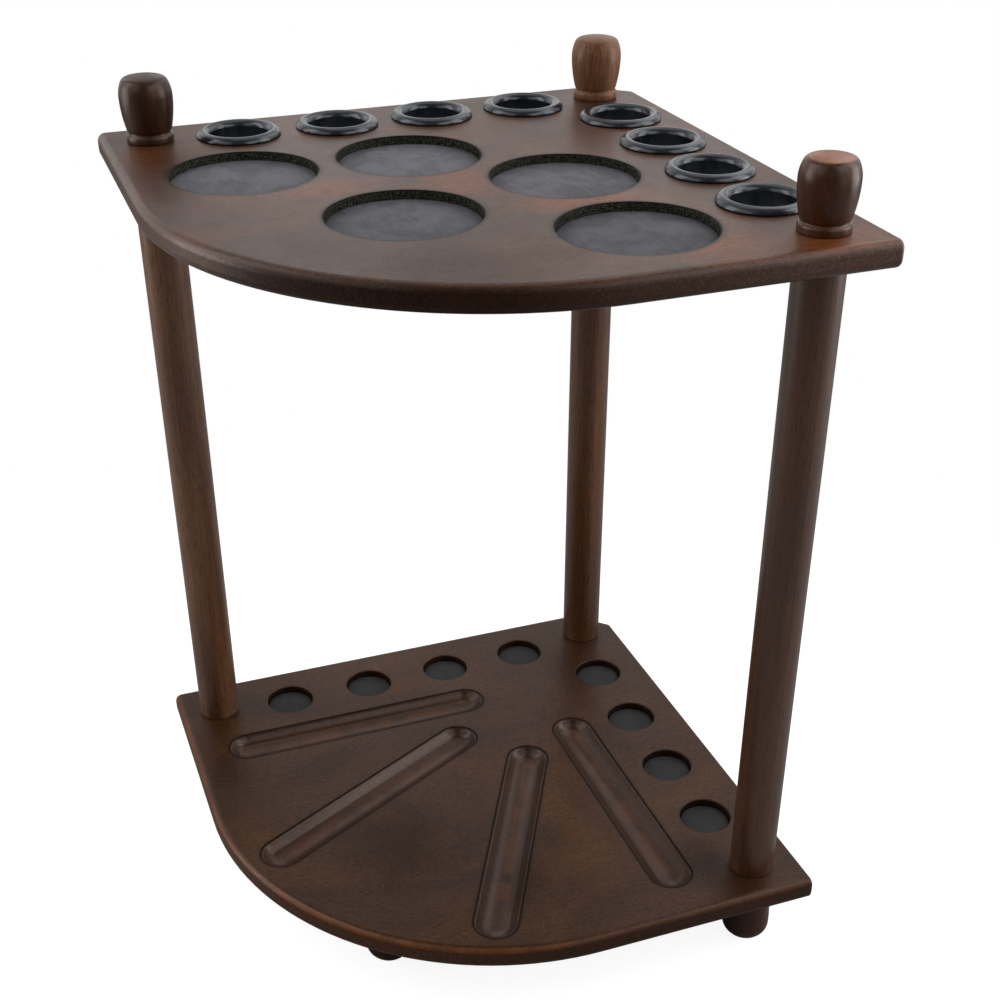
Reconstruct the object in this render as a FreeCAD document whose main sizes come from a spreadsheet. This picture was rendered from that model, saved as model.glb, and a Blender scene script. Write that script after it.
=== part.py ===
import FreeCAD, Part
import math
import os
import Sketcher

# Corner cue rack that stands on the floor: two boards on three round posts,
# with turned finials on top and turned feet below.
# Frame: +Z up, z = 0 on the floor, origin at the centre of the square that the
# boards fill.  The wall corner is at -X +Y; the bowed front faces +X -Y.
# "Left" pieces stand along the wall at -X, "right" pieces along the wall at +Y.

doc = FreeCAD.newDocument("corner_cue_rack")
V = FreeCAD.Vector

# ---------------------------------------------------------------- parameters
# alias, value in mm, note
VALUES = [
    # boards
    ("side", 420.0, "overall width and depth of each board"),
    ("board", 18.0, "board thickness"),
    ("flank", 176.7, "straight part of each open side before the bow starts"),
    ("snip", 27.6, "leg of the chamfer at the wall corner"),
    ("nose", 6.0, "round-over on the open edges"),
    ("ease", 3.0, "round-over on the wall edges"),
    # posts and feet in plan
    ("foot_height", 51.0, "height of a foot, floor to underside of lower board"),
    ("post_length", 487.6, "post length between the boards"),
    ("post_radius", 16.9, "post radius"),
    ("post_chamfer", 0.6, "chamfer at the ends of a post"),
    ("post_far", 385.8, "outer posts: distance from the wall corner"),
    ("post_wall", 36.6, "outer posts: distance from the wall"),
    ("post_back", 32.6, "back post: distance from both walls"),
    ("front_foot", 311.6, "front foot: distance from both walls"),
    # cue holes and grommets
    ("cue_row", 43.8, "cue holes: distance from the wall"),
    ("cue_first", 100.6, "first cue hole from the wall corner"),
    ("cue_pitch", 74.05, "spacing of cue holes"),
    ("cue_bore", 23.6, "radius of the hole in the upper board"),
    ("throat", 21.0, "inside radius of a grommet"),
    ("throat_chamfer", 0.5, "chamfer inside the lower end of a grommet"),
    ("sleeve", 23.5, "outside radius of a grommet's sleeve"),
    ("sleeve_length", 16.5, "length of a grommet's sleeve"),
    ("sleeve_chamfer", 0.4, "chamfer outside the lower end of a sleeve"),
    ("flange", 30.65, "outside radius of a grommet's flange"),
    ("crown", 4.7, "height of a grommet's flange"),
    ("flange_edge", 0.9, "height of the two edges of a flange's round top"),
    ("undercut", 0.5, "gap under the rim of a grommet's flange"),
    ("undercut_start", 2.0, "flange rim to the edge of its seat on the board"),
    ("undercut_full", 1.4, "flange rim to where the gap reaches its height"),
    ("undercut_end", 0.2, "flange rim to where its underside turns up"),
    # recesses and pads
    ("butt_radius", 20.4, "cue butt recess radius"),
    ("butt_depth", 9.0, "cue butt recess depth"),
    ("butt_pad", 3.6, "cue butt pad thickness"),
    ("butt_pad_edge", 0.5, "cue butt pad: round on the upper edge"),
    ("butt_slip", 2.2, "how much nearer its neighbour the last recess on the right lies"),
    ("cup_radius", 50.4, "drink recess radius"),
    ("cup_depth", 8.5, "drink recess depth"),
    ("cup_pad", 3.0, "drink recess pad thickness"),
    ("cup_pad_edge", 0.7, "drink recess pad: round on the upper edge"),
    ("cup_row", 139.2, "drink recess rows: distance from the wall"),
    ("cup_near", 222.7, "nearer drink recesses along the wall"),
    ("cup_far", 340.0, "farther drink recesses along the wall"),
    ("cup_diagonal", 265.0, "middle drink recess, from both walls"),
    ("pad_gap", 0.3, "gap around a pad"),
    ("rim", 1.0, "round on the lip of each recess"),
    # troughs
    ("trough_half", 17.2, "half width of a trough at the board's face"),
    ("trough_cove", 14.6, "half width of a trough's cove under its lip"),
    ("trough_step", 1.7, "drop of the lip from the face to the cove"),
    ("trough_depth", 8.0, "depth of a trough"),
    ("trough_lip", 6.0, "radius of a trough's lip in section"),
    ("trough_row", 100.2, "wall troughs: distance from the wall"),
    ("trough_near", 175.1, "wall troughs: start of the centre line"),
    ("trough_far", 372.5, "wall troughs: end of the centre line"),
    ("slant_near_along", 199.5, "slanted troughs: start, along the wall"),
    ("slant_near_off", 152.0, "slanted troughs: start, off the wall"),
    ("slant_far_along", 377.8, "slanted troughs: end, along the wall"),
    ("slant_far_off", 246.0, "slanted troughs: end, off the wall"),
    # ring and neck, shared by finials and feet; heights from the seat
    ("ring_radius", 16.9, "base ring of a finial or foot: radius"),
    ("ring_edge", 0.8, "base ring: round on its seat"),
    ("ring_top", 4.1, "base ring: top of its upright side"),
    ("ring_shoulder", 2.3, "base ring: radius of the turn in to the neck"),
    ("neck_radius", 15.4, "neck over the base ring: radius"),
    ("neck_top", 6.2, "neck: height over the seat"),
    ("neck_cove", 1.35, "neck: radius of the hollow up to the bulb"),
    ("bulb_base_radius", 15.95, "bulb: radius where it leaves the neck"),
    ("bulb_base", 8.2, "bulb: height where it leaves the neck"),
    # finials
    ("bulb_radius", 19.05, "finial bulb: greatest radius"),
    ("bulb_height", 31.5, "finial bulb: height of the greatest radius"),
    ("cap_radius", 16.8, "finial shoulder: radius where it turns over"),
    ("cap_height", 41.7, "finial shoulder: height where it turns over"),
    ("cap_turn", 5.0, "finial shoulder: radius of the turn in to the dome"),
    ("dome_radius", 13.6, "finial top: radius at the edge of the dome"),
    ("dome_edge", 44.6, "finial top: height of the edge of the dome"),
    ("finial_height", 46.35, "finial: overall height"),
    ("back_off_x", 2.0, "back finial: how far it sits off its bolt, towards +X"),
    ("back_off_y", 3.6, "back finial: how far it sits off its bolt, towards -Y"),
    # feet
    ("toe_flat", 7.0, "foot: radius of the flat on the floor"),
    ("toe_radius", 15.1, "foot: radius where the toe turns up"),
    ("toe_height", 4.6, "foot: height where the toe turns up"),
    ("toe_arc", 12.2, "foot: radius of the arc from the flat to the toe"),
    ("belly_radius", 18.3, "foot: greatest radius"),
    ("belly_height", 12.6, "foot: height of the greatest radius"),
    ("belly_arc", 11.9, "foot: radius of the arc from the toe to the belly"),
    ("waist_radius", 17.9, "foot: radius where it starts to taper"),
    ("waist_height", 27.0, "foot: height where it starts to taper"),
    ("waist_arc", 130.0, "foot: radius of the arc from the belly to the taper"),
    ("taper_arc", 46.0, "foot: radius of the arc along the taper"),
    # hanger bolts
    ("bolt_radius", 4.0, "M8 hanger bolt radius"),
    ("bolt_core", 3.3, "root radius of the thread"),
    ("bolt_wood", 22.0, "wood-screw end of a hanger bolt"),
    ("bolt_steel", 20.0, "machine end of a hanger bolt"),
    ("short_steel", 11.0, "machine end of the front foot's bolt"),
    ("bolt_chamfer", 0.8, "length of the chamfer on the machine end"),
    ("bolt_taper", 5.0, "length of the taper on the wood-screw end"),
    ("bolt_point", 1.0, "radius at the tip of the wood-screw end"),
    ("bolt_spare", 1.0, "bore beyond the tip of the wood-screw end"),
    ("vee_over", 0.4, "how far a thread cutter's vee starts outside the bolt"),
    ("wood_pitch", 2.5, "wood thread: spacing of the rings"),
    ("wood_start", 2.0, "wood thread: start of the first ring"),
    ("wood_half", 0.9, "wood thread: half width of a vee"),
    ("fine_pitch", 1.25, "machine thread: spacing of the rings"),
    ("fine_start", 1.6, "machine thread: start of the first ring, from the end"),
    ("fine_half", 0.5, "machine thread: half width of a vee"),
    ("fine_rise", 0.2, "machine thread: root above the wood thread's root"),
    ("fine_margin", 3.0, "length of the machine end left out of its ring count"),
    # bolt holes and threaded inserts
    ("passage", 4.6, "radius of a bolt hole through a board"),
    ("nut_radius", 6.0, "threaded insert radius"),
    ("nut_length", 14.0, "threaded insert length"),
    ("nut_short", 9.5, "length of the insert in the lower board"),
    ("nut_sink", 0.15, "how far an insert's mouth lies below the surface"),
    ("nut_chamfer", 0.4, "chamfer in an insert's mouth"),
    ("nut_well", 24.0, "depth of the bore for an insert in a post"),
    ("short_well", 12.5, "depth of the bore for the insert in the lower board"),
    ("fit", 0.05, "radial clearance of the fasteners"),
]
SIZES = {alias: value for alias, value, _ in VALUES}
LONGEST_FIRST = sorted(SIZES, key=len, reverse=True)
sheet = doc.addObject("Spreadsheet::Sheet", "params")
for row, (alias, value, note) in enumerate(VALUES, 1):
    sheet.set("A%d" % row, note)
    sheet.set("B%d" % row, repr(value))
    sheet.setAlias("B%d" % row, alias)
doc.recompute()


# -------------------------------------------------------------- expressions
def num(expr):
    """Value in mm of a number or of an expression in the sheet's aliases."""
    if isinstance(expr, (int, float)):
        return float(expr)
    for alias in LONGEST_FIRST:
        expr = expr.replace("params." + alias, repr(SIZES[alias]))
    return float(FreeCAD.Units.Quantity(expr).Value)


def drive(obj, prop, expr):
    """Bind a property to an expression; a plain number needs no binding."""
    if isinstance(expr, str):
        obj.setExpression(prop, expr)


def x_at(distance):
    """x of something at a distance from the wall at -X."""
    return "(%s) - params.side / 2" % distance


def y_at(distance):
    """y of something at a distance from the wall at +Y."""
    return "params.side / 2 - (%s)" % distance


def plan(off_left_wall, off_right_wall):
    return x_at(off_left_wall), y_at(off_right_wall)


# ----------------------------------------------------------------- sketches
CCW, CW = 1, -1  # which way an arc turns on the way to its end point
ON_AXIS = "axis"  # arc radius: centre on the vertical axis, where the arc ends


def new_body(name):
    body = doc.addObject("PartDesign::Body", name)
    body.Label = name
    return body


def new_sketch(body, name, role="XY_Plane"):
    sk = body.newObject("Sketcher::SketchObject", name)
    plane = next(o for o in body.Origin.OriginFeatures if o.Role == role)
    sk.AttachmentSupport = [(plane, "")]
    sk.MapMode = "FlatFace"
    return sk


def bind(sk, kind, args, expr):
    index = sk.addConstraint(Sketcher.Constraint(kind, *args, num(expr)))
    drive(sk, "Constraints[%d]" % index, expr)


def pin_point(sk, geo, pos, x, y):
    """Hold a point of the sketch at (x, y), each a number or an expression."""
    for kind, expr, axis in (("DistanceX", x, -2), ("DistanceY", y, -1)):
        if abs(num(expr)) < 1e-9:
            sk.addConstraint(Sketcher.Constraint("PointOnObject", geo, pos, axis))
        else:
            bind(sk, kind, (-1, 1, geo, pos), expr)


def add_line(sk, x0, y0, x1, y1):
    """Returns the geometry's index and its start and end point numbers."""
    return sk.addGeometry(Part.LineSegment(V(x0, y0, 0), V(x1, y1, 0)), False), 1, 2


def add_arc(sk, x0, y0, x1, y1, radius, turn):
    """The shorter arc between two points; returns the same as add_line."""
    if radius == ON_AXIS:
        r = (x0 * x0 + (y1 - y0) ** 2) / (2 * abs(y1 - y0))
    else:
        r = num(radius)
    half = math.hypot(x1 - x0, y1 - y0) / 2
    gap = math.sqrt(max(r * r - half * half, 0.0))
    normal_x, normal_y = -(y1 - y0) / (2 * half), (x1 - x0) / (2 * half)
    centre_x = (x0 + x1) / 2 + turn * normal_x * gap
    centre_y = (y0 + y1) / 2 + turn * normal_y * gap
    angle0 = math.atan2(y0 - centre_y, x0 - centre_x)
    angle1 = math.atan2(y1 - centre_y, x1 - centre_x)
    circle = Part.Circle(V(centre_x, centre_y, 0), V(0, 0, 1), r)
    if turn == CCW:
        return sk.addGeometry(Part.ArcOfCircle(circle, angle0, angle1), False), 1, 2
    return sk.addGeometry(Part.ArcOfCircle(circle, angle1, angle0), False), 2, 1


def profile(sk, start, steps):
    """Closed profile.  Each step is (x, y) for a line or (x, y, radius, turn)
    for an arc; a line back to the start closes it."""
    spots = [start] + [step[:2] for step in steps]
    values = [(num(x), num(y)) for x, y in spots]
    count = len(spots)
    curves = []
    for i, step in enumerate(steps + [start]):
        ends = values[i] + values[(i + 1) % count]
        add = add_line if len(step) == 2 else add_arc
        curves.append(add(sk, *ends, *step[2:]))
    for i in range(count):
        geo, _, end = curves[i]
        following, begin, _ = curves[(i + 1) % count]
        sk.addConstraint(Sketcher.Constraint("Coincident", geo, end, following, begin))
    for (geo, begin, _), (x, y) in zip(curves, spots):
        pin_point(sk, geo, begin, x, y)
    for (geo, _, _), step in zip(curves, steps):
        if len(step) == 2:
            continue
        if step[2] == ON_AXIS:
            sk.addConstraint(Sketcher.Constraint("PointOnObject", geo, 3, -2))
        else:
            bind(sk, "Radius", (geo,), step[2])


def circles(sk, spots, radius):
    for x, y in spots:
        circle = Part.Circle(V(num(x), num(y), 0), V(0, 0, 1), num(radius))
        geo = sk.addGeometry(circle, False)
        pin_point(sk, geo, 3, x, y)
        bind(sk, "Radius", (geo,), radius)


# ----------------------------------------------------------------- features
def finish_cut(body, feature, volume_before):
    doc.recompute()
    if body.Shape.Volume >= volume_before - 1e-3:
        raise SystemExit(feature.Name + " cuts nothing")
    return feature


def pocket(body, sk, name, length, upward=False):
    """Pocket of a given length, or through everything if the length is None."""
    before = body.Shape.Volume
    feature = body.newObject("PartDesign::Pocket", name)
    feature.Profile = sk
    if length is None:
        feature.Type = "ThroughAll"
        feature.Midplane = True
    else:
        feature.Length = num(length)
        drive(feature, "Length", length)
        feature.Reversed = upward
    return finish_cut(body, feature, before)


def groove(body, sk, name):
    before = body.Shape.Volume
    feature = body.newObject("PartDesign::Groove", name)
    feature.Profile = sk
    feature.ReferenceAxis = (sk, ["V_Axis"])
    feature.Angle = 360.0
    return finish_cut(body, feature, before)


def fillet(body, name, test, radius):
    """Fillet the edges of the body that pass the test."""
    base = body.Tip
    names = ["Edge%d" % i for i, edge in enumerate(base.Shape.Edges, 1) if test(edge)]
    if not names:
        raise SystemExit(name + " finds no edges")
    feature = body.newObject("PartDesign::Fillet", name)
    feature.Base = (base, names)
    feature.Radius = num(radius)
    drive(feature, "Radius", radius)
    doc.recompute()


def turned(name, start, steps, feature_name="turning"):
    """Body turned about its own Z axis from a closed profile in XZ."""
    body = new_body(name)
    sk = new_sketch(body, name + "_section", "XZ_Plane")
    profile(sk, start, steps)
    feature = body.newObject("PartDesign::Revolution", "%s_%s" % (name, feature_name))
    feature.Profile = sk
    feature.ReferenceAxis = (sk, ["V_Axis"])
    feature.Angle = 360.0
    doc.recompute()
    return body


def bore(body, sketch_name, cut_name, spots, radius, depth=None):
    """Round holes from z = 0 upwards, or right through without a depth."""
    sk = new_sketch(body, sketch_name)
    circles(sk, spots, radius)
    pocket(body, sk, cut_name, depth, upward=True)


def move(body, x, y, z, flipped=False):
    """Place a body, upside down if flipped."""
    rotation = FreeCAD.Rotation(V(1, 0, 0), 180) if flipped else FreeCAD.Rotation()
    body.Placement = FreeCAD.Placement(V(num(x), num(y), num(z)), rotation)
    for axis, expr in (("x", x), ("y", y), ("z", z)):
        drive(body, "Placement.Base." + axis, expr)


# ---------------------------------------------------------- places and levels
POSTS = [
    ("left", plan("params.post_wall", "params.post_far")),
    ("right", plan("params.post_far", "params.post_wall")),
    ("back", plan("params.post_back", "params.post_back")),
]
POST_SPOTS = [spot for _, spot in POSTS]
FRONT_FOOT = plan("params.front_foot", "params.front_foot")

CUES = []
for i in range(4):
    along = "params.cue_first + %d * params.cue_pitch" % i
    CUES.append(("left_%d" % (i + 1), plan("params.cue_row", along)))
    CUES.append(("right_%d" % (i + 1), plan(along, "params.cue_row")))
# the recesses in the lower board lie under the holes, but for the last one
BUTTS = [
    (name, (x + " - params.butt_slip" if name == "right_4" else x, y))
    for name, (x, y) in CUES
]
CUPS = [
    ("left_front", plan("params.cup_row", "params.cup_far")),
    ("left_rear", plan("params.cup_row", "params.cup_near")),
    ("right_rear", plan("params.cup_near", "params.cup_row")),
    ("right_front", plan("params.cup_far", "params.cup_row")),
    ("middle", plan("params.cup_diagonal", "params.cup_diagonal")),
]

# underside and top of the lower board, then of the upper board
LOW = "params.foot_height"
LOW_TOP = LOW + " + params.board"
HIGH = LOW_TOP + " + params.post_length"
HIGH_TOP = HIGH + " + params.board"


# ------------------------------------------------------------------- boards
def board_blank(name):
    """Square board, underside at z = 0, with a snipped wall corner, a bowed
    front and rounded edges."""
    body = new_body(name)
    sk = new_sketch(body, name + "_outline")
    low, high = "-params.side / 2", "params.side / 2"
    profile(
        sk,
        (x_at("params.snip"), high),
        [
            (low, y_at("params.snip")),
            (low, low),
            (x_at("params.flank"), low),
            (high, y_at("params.flank"), "params.side - params.flank", CCW),
            (high, high),
        ],
    )
    blank = body.newObject("PartDesign::Pad", name + "_blank")
    blank.Profile = sk
    blank.Length = num("params.board")
    drive(blank, "Length", "params.board")
    doc.recompute()

    half = num(high)
    flank_x, flank_y = num(x_at("params.flank")), num(y_at("params.flank"))
    snip_line = 2 * half - num("params.snip")  # y - x along the snip

    def front_edge(edge):
        centre = edge.CenterOfMass
        flat = edge.BoundBox.ZLength < 1e-6
        straight = abs(centre.y + half) < 1e-3 or abs(centre.x - half) < 1e-3
        bow = centre.x > flank_x and centre.y < flank_y and edge.Length > half
        return flat and (straight or bow)

    def wall_edge(edge):
        box = edge.BoundBox
        left = abs(box.XMin + half) < 1e-3 and box.XLength < 1e-3
        right = abs(box.YMax - half) < 1e-3 and box.YLength < 1e-3
        snip = all(abs(p.Point.y - p.Point.x - snip_line) < 1e-3 for p in edge.Vertexes)
        return left or right or snip

    fillet(body, name + "_nose", front_edge, "params.nose")
    fillet(body, name + "_ease", wall_edge, "params.ease")
    return body


def recesses(body, prefix, spots, radius, depth):
    """Round recesses in a board's top face, with rounded lips."""
    sk = new_sketch(body, prefix + "_rings")
    sk.AttachmentOffset = FreeCAD.Placement(V(0, 0, num("params.board")), FreeCAD.Rotation())
    drive(sk, "AttachmentOffset.Base.z", "params.board")
    circles(sk, spots, radius)
    pocket(body, sk, prefix + "_recesses", depth)

    centres = [(num(x), num(y)) for x, y in spots]
    rim_radius, face = num(radius), num("params.board")

    def rim_edge(edge):
        try:
            curve = edge.Curve
        except TypeError:  # a degenerate edge has no curve
            return False
        if not isinstance(curve, Part.Circle) or abs(curve.Radius - rim_radius) > 1e-4:
            return False
        c = curve.Center
        return abs(c.z - face) < 1e-4 and any(
            math.hypot(c.x - x, c.y - y) < 1e-3 for x, y in centres
        )

    fillet(body, prefix + "_rims", rim_edge, "params.rim")


def upper_board():
    body = board_blank("top_shelf")
    cue_spots = [spot for _, spot in CUES]
    bore(body, "top_cue_holes", "top_cue_bores", cue_spots, "params.cue_bore")
    bore(body, "top_bolt_holes", "top_bolt_passages", POST_SPOTS, "params.passage")
    cup_spots = [spot for _, spot in CUPS]
    recesses(body, "top_cup", cup_spots, "params.cup_radius", "params.cup_depth")
    move(body, 0, 0, HIGH)


# Troughs: a coved section run along a centre line, with the same section
# turned about each end of the line.  Ends are (off the wall at -X, off the
# wall at +Y).
WALL_NEAR = ("params.trough_row", "params.trough_near")
WALL_FAR = ("params.trough_row", "params.trough_far")
SLANT_NEAR = ("params.slant_near_off", "params.slant_near_along")
SLANT_FAR = ("params.slant_far_off", "params.slant_far_along")
TROUGHS = [
    ("left_wall", WALL_NEAR, WALL_FAR),
    ("left_slant", SLANT_NEAR, SLANT_FAR),
    ("right_slant", SLANT_NEAR[::-1], SLANT_FAR[::-1]),
    ("right_wall", WALL_NEAR[::-1], WALL_FAR[::-1]),
]
COVE_DEPTH = "(params.trough_depth - params.trough_step)"
COVE_RADIUS = "(params.trough_cove ^ 2 + %s ^ 2) / (2 * %s)" % (COVE_DEPTH, COVE_DEPTH)
BOWL_MIN = 500.0  # mm3; a trough end that removes less was turned the wrong way


def trough_section(sk, full):
    """Full or half section; x across the trough, y up, 0 at the board's face.
    A lip rolls over from a crease on the face into a round cove."""
    half, cove, step = "params.trough_half", "params.trough_cove", "-params.trough_step"
    lip = (cove, step, "params.trough_lip", CCW)
    if full:
        cove_arc = ("-" + cove, step, COVE_RADIUS, CW)
        profile(sk, (half, 0), [lip, cove_arc, ("-" + half, 0, "params.trough_lip", CCW)])
    else:
        profile(sk, (0, 0), [(half, 0), lip, (0, "-params.trough_depth", ON_AXIS, CW)])


def trough_sketch(body, name, end, direction, full):
    """Trough section upright at an end, its normal along the direction."""
    sk = new_sketch(body, name)
    trough_section(sk, full)
    spot = plan(*end) + ("params.board",)
    upright = V(0, 0, 1)
    rotation = FreeCAD.Rotation(upright.cross(direction), upright, direction, "ZXY")
    sk.AttachmentOffset = FreeCAD.Placement(V(*map(num, spot)), rotation)
    for axis, expr in zip("xyz", spot):
        drive(sk, "AttachmentOffset.Base." + axis, expr)
    doc.recompute()
    return sk


def trough_bowl(body, sk, name):
    """Half turn of the section that rounds off one end of a trough."""
    before = body.Shape.Volume
    feature = body.newObject("PartDesign::Groove", name)
    feature.Profile = sk
    feature.ReferenceAxis = (sk, ["V_Axis"])
    feature.Angle = 180.0
    doc.recompute()
    # the half turn has to sweep outwards, not over the run already cut
    if body.Shape.Volume > before - BOWL_MIN:
        feature.Reversed = True
        doc.recompute()


def trough(body, name, near, far):
    near_x, near_y = map(num, plan(*near))
    far_x, far_y = map(num, plan(*far))
    run = math.hypot(far_x - near_x, far_y - near_y)
    direction = V((far_x - near_x) / run, (far_y - near_y) / run, 0)
    sk = trough_sketch(body, name + "_section", near, direction, True)
    cut = pocket(body, sk, name + "_run", run, upward=True)
    cut.setExpression(
        "Length",
        "sqrt((%s - (%s)) ^ 2 + (%s - (%s)) ^ 2)" % (far[1], near[1], far[0], near[0]),
    )
    for tag, end, outward in (("a", near, direction * -1), ("b", far, direction)):
        sk = trough_sketch(body, "%s_end_%s" % (name, tag), end, outward, False)
        trough_bowl(body, sk, "%s_bowl_%s" % (name, tag))


def lower_board():
    body = board_blank("bottom_shelf")
    bore(body, "low_bolt_holes", "low_bolt_passages", POST_SPOTS, "params.passage")
    well_radius = "params.nut_radius + params.fit"
    bore(body, "low_insert_ring", "low_insert_well", [FRONT_FOOT], well_radius,
         "params.short_well")
    butt_spots = [spot for _, spot in BUTTS]
    recesses(body, "low_butt", butt_spots, "params.butt_radius", "params.butt_depth")
    for name, near, far in TROUGHS:
        trough(body, name, near, far)
    move(body, 0, 0, LOW)


# --------------------------------------------------- posts, finials and feet
def post(name, x, y):
    """Chamfered round post with a well for an insert in each end."""
    radius, length, well = "params.post_radius", "params.post_length", "params.nut_well"
    hole, inset = "params.nut_radius + params.fit", " - params.post_chamfer"
    steps = [
        (hole, well),
        (hole, 0),
        (radius + inset, 0),
        (radius, "params.post_chamfer"),
        (radius, length + inset),
        (radius + inset, length),
        (hole, length),
        (hole, length + " - " + well),
        (0, length + " - " + well),
    ]
    move(turned(name + "_post", (0, well), steps), x, y, LOW_TOP)


def swell_radius(wide, narrow, high, low):
    """Radius of an arc that stands upright at its widest point."""
    step = "(params.%s - params.%s)" % (wide, narrow)
    rise = "(params.%s - params.%s)" % (high, low)
    return "(%s ^ 2 + %s ^ 2) / (2 * %s)" % (step, rise, step)


BULB_ARC = swell_radius("bulb_radius", "bulb_base_radius", "bulb_height", "bulb_base")
CAP_ARC = swell_radius("bulb_radius", "cap_radius", "cap_height", "bulb_height")


def finial(name, x, y):
    """Base ring, neck, a bulb that swells upwards, a rounded shoulder and a
    nearly flat domed top.  The back one is bored off its centre."""
    ring, edge = "params.ring_radius", "params.ring_edge"
    steps = [
        (ring + " - " + edge, 0),
        (ring, edge, edge, CCW),
        (ring, "params.ring_top"),
        ("params.neck_radius", "params.neck_top", "params.ring_shoulder", CCW),
        ("params.bulb_base_radius", "params.bulb_base", "params.neck_cove", CW),
        ("params.bulb_radius", "params.bulb_height", BULB_ARC, CCW),
        ("params.cap_radius", "params.cap_height", CAP_ARC, CCW),
        ("params.dome_radius", "params.dome_edge", "params.cap_turn", CCW),
        (0, "params.finial_height", ON_AXIS, CCW),
    ]
    body = turned(name + "_finial", (0, 0), steps)
    spot = (0, 0)
    if name == "back":
        x, y = x + " + params.back_off_x", y + " - params.back_off_y"
        spot = ("-params.back_off_x", "params.back_off_y")
    bore(body, name + "_finial_bore_ring", name + "_finial_bore", [spot],
         "params.bolt_radius + params.fit", "params.bolt_wood + params.bolt_spare")
    move(body, x, y, HIGH_TOP)


def foot(name, x, y):
    """A finial's ring and neck turned over, a fuller body and a domed toe with
    a small flat; bored from the top for its bolt."""
    top, hole = "params.foot_height", "params.bolt_radius + params.fit"
    ring, edge = "params.ring_radius", "params.ring_edge"
    hole_end = top + " - params.bolt_wood - params.bolt_spare"
    steps = [
        ("params.toe_flat", 0),
        ("params.toe_radius", "params.toe_height", "params.toe_arc", CCW),
        ("params.belly_radius", "params.belly_height", "params.belly_arc", CCW),
        ("params.waist_radius", "params.waist_height", "params.waist_arc", CCW),
        ("params.bulb_base_radius", top + " - params.bulb_base", "params.taper_arc", CCW),
        ("params.neck_radius", top + " - params.neck_top", "params.neck_cove", CW),
        (ring, top + " - params.ring_top", "params.ring_shoulder", CCW),
        (ring, top + " - " + edge),
        (ring + " - " + edge, top, edge, CCW),
        (hole, top),
        (hole, hole_end),
        (0, hole_end),
    ]
    move(turned(name + "_foot", (0, 0), steps), x, y, 0)


# -------------------------------------------------------- grommets and pads
def grommet(name, x, y):
    """Round-topped flange on the board's face and a sleeve down the hole."""
    throat, sleeve, flange = "params.throat", "params.sleeve", "params.flange"
    edge, bottom = "params.flange_edge", "-params.sleeve_length"
    half = "((%s - %s) / 2)" % (flange, throat)
    rise = "(params.crown - %s)" % edge
    arc = "(%s ^ 2 + %s ^ 2) / (2 * %s)" % (half, rise, rise)
    steps = [
        (sleeve + " - params.sleeve_chamfer", bottom),
        (sleeve, "params.sleeve_chamfer - params.sleeve_length"),
        (sleeve, 0),
        (flange + " - params.undercut_start", 0),
        (flange + " - params.undercut_full", "params.undercut"),
        (flange + " - params.undercut_end", "params.undercut"),
        (flange, edge),
        ("(%s + %s) / 2" % (flange, throat), "params.crown", arc, CCW),
        (throat, edge, arc, CCW),
        (throat, "params.throat_chamfer - params.sleeve_length"),
    ]
    start = (throat + " + params.throat_chamfer", bottom)
    move(turned("grommet_" + name, start, steps), x, y, HIGH_TOP)


def round_pad(name, spot, z, radius, thickness, edge):
    steps = [
        (radius, 0),
        (radius, "%s - %s" % (thickness, edge)),
        ("%s - %s" % (radius, edge), thickness, edge, CCW),
        (0, thickness),
    ]
    move(turned(name, (0, 0), steps, "disc"), *spot, z)


# ---------------------------------------------------------------- fasteners
WOOD_RINGS = 5
# Outline of an insert: inset from its radius, height above its lower end
INSERT_STEPS = [
    (1.0, 0), (0.4, 1.0), (0.4, 3.0), (0, 3.6),
    (0, 5.0), (0.7, 5.6), (0.7, 6.6), (0, 7.2),
]


def thread(body, name, start, root, half, pitch, count):
    """Thread made of vee rings, from z = start upwards."""
    outside = "params.bolt_radius + params.vee_over"
    sk = new_sketch(body, name + "_vee", "XZ_Plane")
    tip = (root, "%s + %s" % (start, half))
    profile(sk, (outside, start), [tip, (outside, "%s + 2 * %s" % (start, half))])
    ring = groove(body, sk, name + "_ring")
    pattern = body.newObject("PartDesign::LinearPattern", name + "_thread")
    pattern.Originals = [ring]
    pattern.Direction = (sk, ["V_Axis"])
    pattern.Length = (count - 1) * num(pitch)
    drive(pattern, "Length", "%d * %s" % (count - 1, pitch))
    pattern.Occurrences = count
    body.Tip = pattern
    doc.recompute()


def hanger_bolt(name, steel, tail):
    """Hanger bolt along Z: wood-screw end up to z = bolt_wood, machine end of
    length `steel` down to z = tail."""
    radius, core = "params.bolt_radius", "params.bolt_core"
    steps = [
        (core, tail),
        (radius, tail + " + params.bolt_chamfer"),
        (radius, "params.bolt_wood - params.bolt_taper"),
        ("params.bolt_point", "params.bolt_wood"),
        (0, "params.bolt_wood"),
    ]
    body = turned(name, (0, tail), steps, "blank")
    thread(body, name + "_wood", "params.wood_start", core, "params.wood_half",
           "params.wood_pitch", WOOD_RINGS)
    fine_rings = int((num(steel) - num("params.fine_margin")) / num("params.fine_pitch"))
    thread(body, name + "_steel", tail + " + params.fine_start",
           core + " + params.fine_rise", "params.fine_half", "params.fine_pitch", fine_rings)
    return body


def insert_nut(name, length):
    """Threaded insert along Z, its mouth just under z = 0, body down."""
    hole = "params.bolt_radius + params.fit"
    steps = [
        ("params.nut_radius - %s" % inset, "%s - %s" % (height, length))
        for inset, height in INSERT_STEPS
    ]
    steps += [
        ("params.nut_radius", "-params.nut_sink"),
        (hole + " + params.nut_chamfer", "-params.nut_sink"),
        (hole, "-params.nut_sink - params.nut_chamfer"),
    ]
    return turned(name, (hole, "-" + length), steps)


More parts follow.
